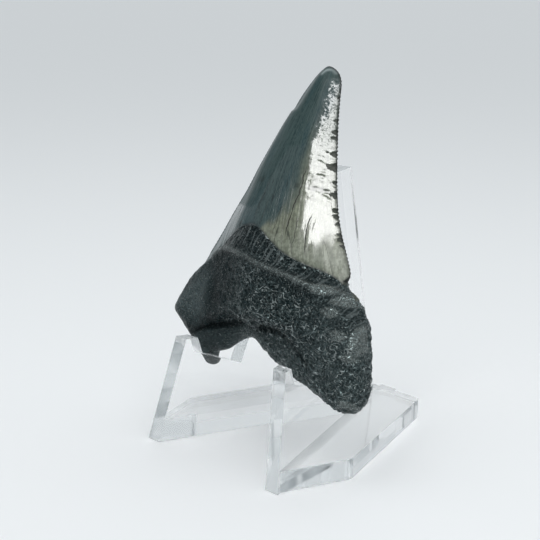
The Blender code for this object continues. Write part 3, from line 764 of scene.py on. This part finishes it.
def root_masks(place, above, root, front):
    """Where the root's finishes and its painted light and shade are, each from 0 to 1."""
    u, v, _ = place.T
    below = -above
    collar = grows(below, COLLAR_BEGINS) * fades(below, COLLAR_ENDS) * front
    crease_v = follow(LEDGE, u) - CREASE_DROP
    # the crease is a real groove, darkened further with painted shade
    crease_and_shade = peak(v - crease_v, CREASE_WIDTH) * front
    crease_and_shade *= grows(u, CREASE_ENDS[0]) * fades(u, CREASE_ENDS[1])
    winds = grows(u, WORMS_FROM) * (1.0 - collar)
    # painted light: lighter where the root faces the light, on its left flank, below the crease and
    # on its right lobe
    light = fades(u, PAINTED_LIGHT_LEFT[0]) * grows(v, PAINTED_LIGHT_LEFT[1])
    light = np.maximum(light, PAINTED_LIGHT_LOW[0] * grows(crease_v - v, PAINTED_LIGHT_LOW[1]))
    light = np.maximum(light, PAINTED_LIGHT_RIGHT[0] * grows(u, PAINTED_LIGHT_RIGHT[1]))
    polish_highlight, width = RIDGE_RUBBED
    polish = polish_highlight * bump_line(place, RIDGE, width * RIDGE_WIDTH)
    for middle_u, middle_v, wide, tall in POLISHED:
        reach = ((u - middle_u) / wide) ** 2 + ((v - middle_v) / tall) ** 2
        polish = np.maximum(polish, ramp(POLISH_REACH - reach))
    return {
        "collar": collar,
        "crease_and_shade": crease_and_shade,
        "winding": winds,
        "worms": worm_ridges(place) * winds,
        "rough": grows(u, ROUGH_FROM) * root,
        "light": light * root,
        "streaked": grows(below, COLLAR_BEGINS) * fades(below, STREAKS_END) * front,
        "polish": polish * front,
    }


def winding(place):
    """Coordinates that run along and across the winding grain of the root."""
    u, v, w = place.T
    along = u * math.cos(WORM_TURN) + v * math.sin(WORM_TURN)
    across = v * math.cos(WORM_TURN) - u * math.sin(WORM_TURN)
    across = across + WORM_STRAY * noise_at(place, *WORM_STRAYS)
    return np.column_stack([WORM_LONG * along, across, w])


def worm_ridges(place):
    """Winding ridges over the root, from 0 in the pits between them to 1 on their crests."""
    level = noise_at(winding(place), *WORM_LEVELS)
    return 1.0 - ramp(np.abs(level) / WORM_WIDTH)


def tooth_masks(place, front):
    """All the masks and fields over the tooth's points, of its finishes and of its painted light and
    shade.
    """
    above = place[:, 1] - lower_edge(place[:, 0], front)
    masks = crown_masks(place, above, front)
    masks.update(blade_marks(place, masks["crown"]))
    masks.update(crack_marks(place, front))
    masks["chips"] = chip_field(place, front)
    masks.update(root_masks(place, above, 1.0 - masks["crown"], front))
    return masks


def relief(place, masks, front, depth):
    """Height of the fine detail over the tooth's smooth form."""
    u, v, _ = place.T
    crown = masks["crown"]
    root = 1.0 - crown
    at_rim, inwards = COARSE
    coarse = (at_rim + (1.0 - at_rim) * ramp(depth / inwards)) * root
    coarse *= 1.0 - COARSE_COLLAR * masks["collar"]
    weights = dict(masks, coarse=coarse, coarse_rough=coarse * masks["rough"])
    weights["waved"] = crown * ramp(depth / CROWN_CALM)
    height = WORM_HEIGHT * masks["worms"] * root
    for weight, tall, size, squeeze, octaves, seed in FINE_RELIEF:
        height += tall * noise_at(place * squeeze, size, octaves, seed) * weights[weight]
    height += RIDGE_HEIGHT * bump_line(place, RIDGE, RIDGE_WIDTH) * front
    height -= NOTCH_DEPTH * masks["notches"]
    height -= CRACK_DEPTH * masks["groove"]
    height -= CHIP_DEPTH * np.clip(masks["chips"], 0.0, 1.0)
    height -= CREASE_DEPTH * masks["crease_and_shade"]
    middle_u, middle_v, radius, hollow = DIMPLE
    return height - hollow * peak(np.hypot(u - middle_u, v - middle_v), radius) * front


def make_tooth():
    """The fossil's whole skin as one closed mesh with masks for its finishes and its painted light
    and shade.
    """
    net, faces, rim = tooth_net()
    u, v = net.T
    outline = np.vstack([smooth_path(BLADE, FINEST_SPACING), smooth_path(ROOT, FINEST_SPACING)])
    depth, _ = nearest(net, outline)
    depth[rim] = 0.0
    root_only = ramp((follow(ENAMEL_EDGE, u) - v) / COLLAR) * ramp(depth / LOBE_ROUND)
    domed = lingual_height(u, v, depth) + lumps(net, root_only) + hook(u, v)
    flat = labial_height(u, v, depth) + hook(u, v)
    place = np.vstack([np.column_stack([u, v, domed]), np.column_stack([u, v, flat])])

    count = len(net)
    front = np.arange(2 * count) < count
    ends = rim[1:] + rim[:1]
    wall = [(b, a, a + count) for a, b in zip(rim, ends)]
    wall += [(b, a + count, b + count) for a, b in zip(rim, ends)]
    skin = np.vstack([faces, faces[:, ::-1] + count, np.array(wall)])

    masks = tooth_masks(place, front)
    grain = np.column_stack([across_crown(*place[:, :2].T) * GRAIN_SPREAD, place[:, 1:]])
    # coordinates along the winding grain, which the painted glint strokes follow
    strokes = winding(place)
    height = relief(place, masks, front, np.tile(depth, 2))
    place = place + vertex_normals(place, skin) * height[:, None]

    mesh = bpy.data.meshes.new("fossil_tooth")
    mesh.from_pydata(tooth_to_row(*place.T).tolist(), [], skin.tolist())
    mesh.shade_smooth()
    masks.update(place=place, grain=grain, strokes=strokes)
    for name, values in masks.items():
        kind, key = ("FLOAT", "value") if values.ndim == 1 else ("FLOAT_VECTOR", "vector")
        layer = mesh.attributes.new(name, kind, "POINT")
        layer.data.foreach_set(key, values.astype(np.float32).ravel())
    mesh.materials.append(enamel_material())
    mesh.materials.append(root_material())
    is_root = masks["crown"][skin].mean(axis=1) < 0.5
    mesh.polygons.foreach_set("material_index", is_root.astype(np.int32))
    return place_object("fossil_tooth", mesh)


def make_stand():
    """The easel with its rounded edges shaded smooth and its flat faces flat."""
    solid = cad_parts["stand"]
    work = bmesh.new()
    work.from_mesh(solid.data)
    bmesh.ops.remove_doubles(work, verts=work.verts, dist=SAME_PLACE)
    mesh = bpy.data.meshes.new("clear_easel")
    work.to_mesh(mesh)
    work.free()
    mesh.transform(solid.matrix_world)
    for name in ("custom_normal", "sharp_edge", "sharp_face"):
        if name in mesh.attributes:
            mesh.attributes.remove(mesh.attributes[name])
    mesh.shade_smooth()
    mesh.materials.append(clear_material())
    mesh.polygons.foreach_set("material_index", np.zeros(len(mesh.polygons), dtype=np.int32))
    easel = place_object("clear_easel", mesh)
    flat = easel.modifiers.new("flat_faces", "WEIGHTED_NORMAL")
    flat.weight = FLAT_WEIGHT
    return easel


# ---- Materials ----

class Nodes:
    """A node tree, with short calls for the nodes used here."""

    def __init__(self, tree):
        self.tree = tree

    def plug(self, node, socket, value):
        """Link a socket to an input, or set the input's value."""
        if isinstance(value, bpy.types.NodeSocket):
            self.tree.links.new(value, node.inputs[socket])
        else:
            node.inputs[socket].default_value = value

    def add(self, kind, **values):
        """A new node, with values for its inputs by name."""
        node = self.tree.nodes.new(kind)
        for socket, value in values.items():
            self.plug(node, socket, value)
        return node

    def field(self, name, vector=False):
        """A mask or a place stored on the mesh."""
        node = self.add("ShaderNodeAttribute")
        node.attribute_name = name
        return node.outputs["Vector" if vector else "Fac"]

    def maths(self, operation, a, b=0.0):
        node = self.add("ShaderNodeMath")
        node.operation = operation
        self.plug(node, 0, a)
        self.plug(node, 1, b)
        return node.outputs[0]

    def times(self, a, b):
        return self.maths("MULTIPLY", a, b)

    def squeezed(self, vector, factors):
        """A place multiplied by three factors."""
        node = self.add("ShaderNodeVectorMath")
        node.operation = "MULTIPLY"
        self.plug(node, 0, vector)
        self.plug(node, 1, factors)
        return node.outputs[0]

    def noise(self, vector, scale, detail=0.0, rough=0.5, warp=0.0):
        values = {"Scale": scale, "Detail": detail, "Roughness": rough, "Distortion": warp}
        return self.add("ShaderNodeTexNoise", Vector=vector, **values).outputs[0]

    def span(self, value, low, high, to_low=0.0, to_high=1.0):
        """Map a range smoothly onto another, clamped."""
        node = self.add("ShaderNodeMapRange")
        node.interpolation_type = "SMOOTHSTEP"
        for socket, number in enumerate((value, low, high, to_low, to_high)):
            self.plug(node, socket, number)
        return node.outputs[0]

    def pattern(self, vector, form):
        """A noise whose levels from low to high are spread from 0 to 1."""
        laid = self.squeezed(vector, form.squeeze)
        level = self.noise(laid, form.scale, form.detail, form.rough, form.warp)
        return self.span(level, form.low, form.high)

    def lines(self, vector, form):
        """Thin winding lines, 1 along the middle level of a noise."""
        squeeze, scale, thin, thick = form
        level = self.maths("SUBTRACT", self.noise(self.squeezed(vector, squeeze), scale), 0.5)
        return self.span(self.maths("ABSOLUTE", level), thin, thick, 1.0, 0.0)

    def mix(self, share, a, b):
        """Mix two colours."""
        node = self.add("ShaderNodeMix")
        node.data_type = "RGBA"
        self.plug(node, 0, share)
        for socket, colour in ((6, a), (7, b)):
            whole = isinstance(colour, bpy.types.NodeSocket)
            self.plug(node, socket, colour if whole else (*colour, 1.0))
        return node.outputs[2]

    def coat(self, under, name, mask=None):
        """Lay one of the tints over a colour, where its mask or the field of its name says."""
        mask = mask or self.field(name)
        *tint, strength = TINTS[name]
        return self.mix(self.times(mask, strength), under, tint)

    def blend(self, share, a, b):
        """Mix two numbers."""
        node = self.add("ShaderNodeMix")
        self.plug(node, 0, share)
        self.plug(node, 2, a)
        self.plug(node, 3, b)
        return node.outputs[0]


class Shader(Nodes):
    """The nodes of a new material with one principled surface."""

    def __init__(self, name):
        self.material = bpy.data.materials.new(name)
        self.material.use_nodes = True
        super().__init__(self.material.node_tree)

    def surface(self, **values):
        """Set or link inputs of the surface, whose names have _ for a blank."""
        node = self.tree.nodes["Principled BSDF"]
        for socket, value in values.items():
            self.plug(node, socket.replace("_", " "), value)

    def bump(self, distance, factors, **heights):
        """Raise the surface's shading by heights, each times its factor."""
        total = 0.0
        for name, factor in factors.items():
            total = self.maths("ADD", self.times(heights[name], factor), total)
        node = self.add("ShaderNodeBump", Height=total, Distance=distance, Strength=1.0)
        self.surface(Normal=node.outputs[0])


def enamel_material():
    """Glossy enamel, slate grey-green turning olive down its right side, with lengthwise grain."""
    shader = Shader("fossil_enamel")
    place = shader.field("place", vector=True)
    grain = shader.field("grain", vector=True)
    olive = shader.field("olive")
    streaks = shader.pattern(grain, ENAMEL_STREAKS)
    slate = shader.mix(streaks, *SLATE)
    slate = shader.coat(slate, "patches", shader.pattern(grain, SLATE_PATCHES))
    slate = shader.coat(slate, "grains", shader.pattern(grain, SLATE_GRAINS))
    warm = shader.coat(shader.mix(streaks, *OLIVE), "mottle", shader.pattern(place, OLIVE_MOTTLE))
    warm = shader.mix(shader.field("pale"), warm, shader.mix(streaks, *PALE_OLIVE))
    warm = shader.coat(warm, "olive_grains", shader.pattern(place, OLIVE_GRAINS))
    colour = shader.mix(olive, slate, warm)

    hair = shader.times(shader.lines(grain, HAIR_LINES), shader.field("crazed"))
    beside_crack = shader.maths("ABSOLUTE", shader.field("crack_side"))
    cracks = shader.times(shader.span(beside_crack, *CRACK_LINE, 1.0, 0.0), shader.field("cracks"))
    chips = shader.span(shader.field("chips"), *CHIP_LINE)
    # dark lip round each chip: painted shade at the hollow's rim
    lip = shader.span(shader.field("chips"), *CHIP_LIP_SHADE, 1.0, CHIP_LIP_SHADE_LEFT)
    rim = shader.field("rim")
    marks = {"hair": hair, "cracks": cracks, "chips": chips, "lip": shader.times(chips, lip)}
    # the pale tip crescent laid on here is a painted highlight
    for name in ("hair", "cracks", "chips", "lip", "tip_highlight", "edge", "rim"):
        colour = shader.coat(colour, name, marks.get(name))

    gloss = shader.blend(olive, ENAMEL_ROUGH["slate"], ENAMEL_ROUGH["olive"])
    for name in ("hammered", "wrinkled", "matt"):
        gloss = shader.blend(shader.field(name), gloss, ENAMEL_ROUGH[name])
    mirror = shader.blend(shader.field("matt"), ENAMEL_MIRROR["clean"], ENAMEL_MIRROR["matt"])
    scale, reach = GLEAM_SPECKLE
    specks = shader.maths("SUBTRACT", shader.times(shader.noise(place, scale, 1.0), reach), reach / 2)
    skin = shader.span(shader.maths("ADD", specks, shader.field("dull")), *GLEAM_SOFT)
    for kind, mask in (("skin", skin), ("broken", chips), ("broken", cracks), ("broken", rim)):
        gloss = shader.blend(mask, gloss, ENAMEL_ROUGH[kind])
        mirror = shader.blend(mask, mirror, ENAMEL_MIRROR[kind])
    shader.surface(Base_Color=colour, Roughness=gloss, Specular_IOR_Level=mirror, IOR=ENAMEL_IOR)

    hammer = shader.noise(place, HAMMER_SCALE, warp=HAMMER_WARP)
    hammer = shader.times(hammer, shader.field("hammered"))
    laid = shader.squeezed(grain, ENAMEL_STREAKS.squeeze)
    ribs = shader.noise(laid, ENAMEL_STREAKS.scale, STREAK_BUMP_DETAIL)
    shader.bump(ENAMEL_BUMP, ENAMEL_BUMPS, streaks=ribs, hammer=hammer, hair=hair)
    return shader.material


def root_material():
    """Satin charcoal root: granular, with worm-like ridges, glints painted as pale flecks and
    strokes, and a streaked collar.
    """
    shader = Shader("fossil_root")
    place = shader.field("place", vector=True)
    worms = shader.field("worms")
    rough = shader.field("rough")
    polish = shader.field("polish")
    broad = shader.pattern(place, ROOT_BROAD)
    grit = shader.pattern(place, ROOT_GRIT)
    # pale flecks: painted glints
    flecks = shader.times(shader.pattern(place, ROOT_GLINT_FLECKS), shader.span(broad, *GLINT_FLECKS_THIN))
    # thin pale strokes along the grain: painted glints
    strokes = shader.lines(shader.field("strokes", vector=True), ROOT_GLINT_STROKES)
    strokes = shader.times(strokes, shader.pattern(place, GLINT_STROKE_AREAS))
    strokes = shader.times(strokes, shader.field("winding"))
    streaks = shader.times(shader.pattern(place, COLLAR_STREAKS), shader.field("streaked"))
    # darker in the grit's pits: the root's own tone and painted shade
    colour = shader.mix(grit, shader.mix(broad, *PIT_TONE_AND_SHADE), shader.mix(rough, *GRIT_TONE))
    marks = {"flecks": flecks, "strokes": strokes, "streaks": streaks}
    # painted light laid over the root's colour
    marks["light"] = shader.times(shader.field("light"), shader.blend(grit, *PAINTED_LIGHT_GRIT))
    # painted highlight where the root is polished
    marks["polish_highlight"] = shader.times(polish, shader.blend(grit, *POLISH_HIGHLIGHT_GRIT))
    for name in ("worms", "light", "collar", "flecks", "strokes", "streaks", "polish_highlight", "crease_and_shade"):
        colour = shader.coat(colour, name, marks.get(name))

    gloss = shader.blend(polish, shader.span(grit, 0.0, 1.0, *ROOT_ROUGH), POLISH_ROUGH)
    crest = shader.blend(worms, shader.blend(rough, *ROOT_CRESTS), WORM_CREST)
    crest = shader.times(grit, crest)
    for other in (polish, strokes):
        crest = shader.maths("MAXIMUM", crest, other)
    mirror = shader.blend(crest, *ROOT_MIRROR)
    shader.surface(Base_Color=colour, Roughness=gloss, Specular_IOR_Level=mirror, IOR=ROOT_IOR)
    shader.surface(Specular_Tint=ROOT_TINT)
    shader.bump(ROOT_BUMP, ROOT_BUMPS, grit=grit, flecks=flecks, streaks=streaks)
    return shader.material


def clear_material():
    """Clear moulded plastic, with the faint waviness of a moulded face."""
    shader = Shader("clear_moulded_plastic")
    shader.surface(Base_Color=(1.0, 1.0, 1.0, 1.0), Roughness=CLEAR_ROUGH, IOR=CLEAR_IOR)
    shader.surface(Transmission_Weight=1.0)
    squeeze, scale, warp = CLEAR_WAVES
    place = shader.add("ShaderNodeTexCoord").outputs["Object"]
    waves = shader.noise(shader.squeezed(place, squeeze), scale, warp=warp)
    shader.bump(CLEAR_BUMP, {"waves": 1.0}, waves=waves)
    absorb = shader.add("ShaderNodeVolumeAbsorption", Color=CLEAR_TINT, Density=CLEAR_DENSITY)
    shader.plug(shader.tree.nodes["Material Output"], "Volume", absorb.outputs[0])
    return shader.material


# ---- Studio ----

def make_floor():
    """Plain pale floor."""
    half = FLOOR_HALF
    mesh = bpy.data.meshes.new("floor")
    corners = [(-half, -half), (half, -half), (half, half), (-half, half)]
    mesh.from_pydata([(x, y, -FLOOR_DROP) for x, y in corners], [], [(0, 1, 2, 3)])
    shader = Shader("pale_floor")
    shader.surface(Base_Color=FLOOR_TINT, Roughness=FLOOR_ROUGH, Specular_IOR_Level=FLOOR_MIRROR)
    mesh.materials.append(shader.material)
    place_object("floor", mesh)


def make_world():
    """Surround of a soft studio: bright overhead and behind, dim towards the front."""
    world = bpy.data.worlds.new("studio")
    world.use_nodes = True
    nodes = Nodes(world.node_tree)
    split = nodes.add("ShaderNodeSeparateXYZ")
    nodes.plug(split, 0, nodes.add("ShaderNodeTexCoord").outputs["Generated"])
    around = nodes.mix(nodes.span(split.outputs["Y"], *BEHIND_FROM), DIM, BEHIND)
    colour = nodes.mix(nodes.span(split.outputs["Z"], *OVERHEAD_FROM), around, OVERHEAD)
    nodes.plug(world.node_tree.nodes["Background"], "Color", colour)
    bpy.context.scene.world = world


def direction(turn, rise):
    """Unit vector at an angle right of the easel's front and an angle above the floor."""
    level = math.cos(rise)
    return Vector((math.sin(turn) * level, -math.cos(turn) * level, math.sin(rise)))


def make_softbox(name, setting):
    """Softbox that faces the tooth from a turn, a rise and a distance."""
    turn, rise, distance, width, height, radiance = setting
    light = bpy.data.lights.new(name, "AREA")
    light.shape = "RECTANGLE"
    light.size = width
    light.size_y = height
    light.energy = radiance * math.pi * width * height
    box = place_object(name, light)
    toward = direction(math.radians(turn), math.radians(rise))
    box.location = Vector(LAMP_TARGET) + toward * distance
    box.rotation_euler = toward.to_track_quat("Z", "Y").to_euler()
    return box


def make_camera():
    """Camera right of the easel's front, looking a little down at the tooth."""
    data = bpy.data.cameras.new("camera")
    data.sensor_width = SENSOR_MM
    data.lens = FOCAL_PIXELS / FRAME_PIXELS * SENSOR_MM
    data.clip_start, data.clip_end = CAMERA_CLIP
    camera = place_object("camera", data)
    camera.location = easel_origin() + Vector(CAMERA_AT) * MM
    camera.rotation_euler = direction(CAMERA_TURN, CAMERA_FALL).to_track_quat("Z", "Y").to_euler()
    bpy.context.scene.camera = camera


bpy.context.scene.view_settings.view_transform = "Standard"
for bounces in ("max_bounces", "transmission_bounces", "glossy_bounces"):
    setattr(bpy.context.scene.cycles, bounces, CLEAR_BOUNCES)
bpy.context.scene.cycles.blur_glossy = CLEAR_BLUR
make_camera()
make_floor()
make_world()
make_softbox("fill", FILL)
highlight = make_softbox("highlight", KEY)
highlight.visible_diffuse = False
highlight.visible_transmission = False

tooth = make_tooth()
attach(tooth, "root")
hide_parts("tooth")

stand = make_stand()
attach(stand, "root")
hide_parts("stand")
